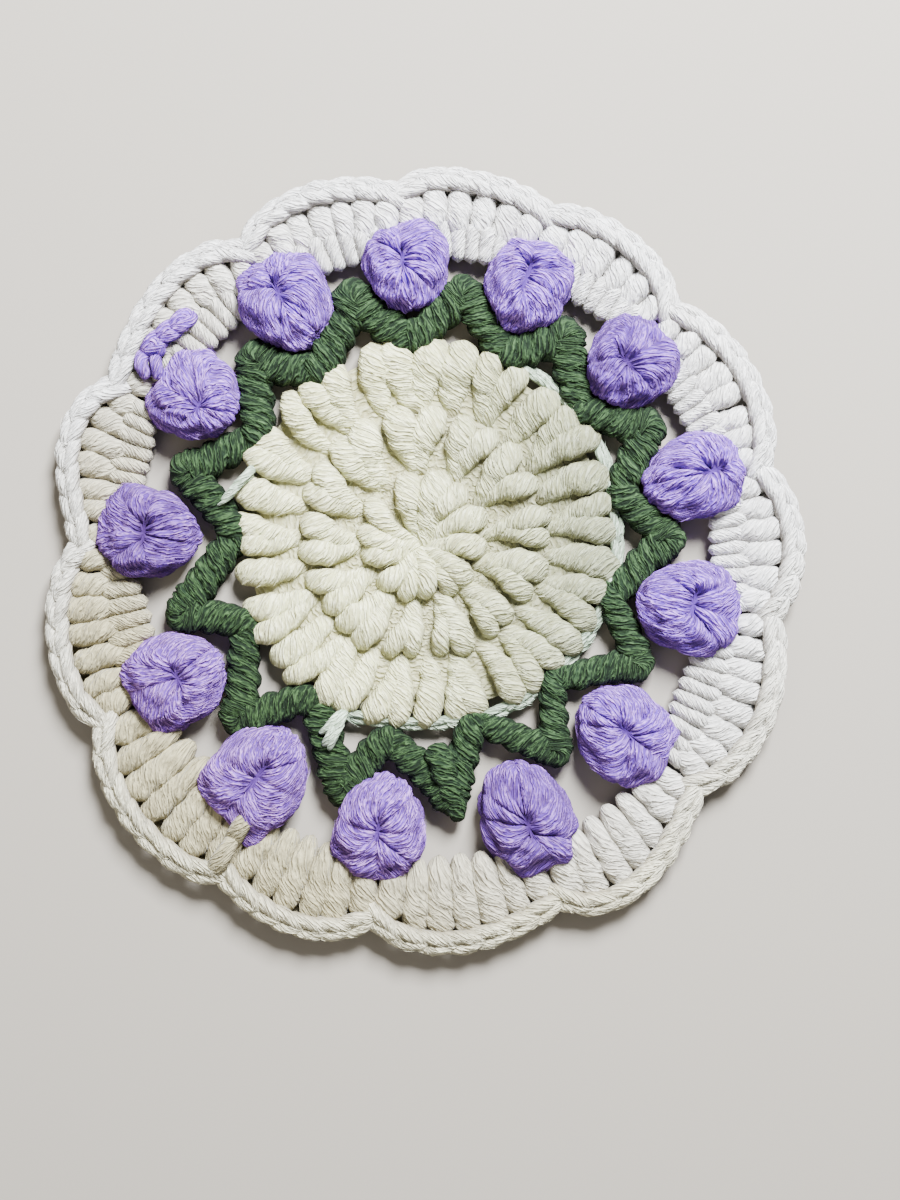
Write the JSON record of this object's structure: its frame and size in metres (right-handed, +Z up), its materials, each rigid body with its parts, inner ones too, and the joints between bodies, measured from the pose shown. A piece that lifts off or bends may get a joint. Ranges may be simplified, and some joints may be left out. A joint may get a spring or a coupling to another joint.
{
  "type": "crocheted coaster",
  "caption": "Flat round crocheted yarn coaster: cream centre, green leaf zigzag, ring of raised tulip bobbles and a scalloped shell border, to stand a cup on.",
  "frame": {"origin": "middle of the outline on the underside, at the table surface", "axes": "+Z up out of the right side of the work, +Y towards the top of the pictured view"},
  "size_m": [0.1206, 0.1251, 0.0073],
  "materials": {
    "cream_yarn": "matte plied yarn",
    "green_yarn": "matte plied yarn",
    "lavender_yarn": "matte plied yarn",
    "white_yarn": "matte plied yarn"
  },
  "bodies": {
    "root": {"centre_disc": "cream_yarn", "leaf_round": "green_yarn", "tulip_01": "lavender_yarn", "tulip_02": "lavender_yarn", "tulip_03": "lavender_yarn", "tulip_04": "lavender_yarn", "tulip_05": "lavender_yarn", "tulip_06": "lavender_yarn", "tulip_07": "lavender_yarn", "tulip_08": "lavender_yarn", "tulip_09": "lavender_yarn", "tulip_10": "lavender_yarn", "tulip_11": "lavender_yarn", "tulip_12": "lavender_yarn", "tulip_13": "lavender_yarn", "shell_border": "white_yarn"}
  },
  "joints": []
}
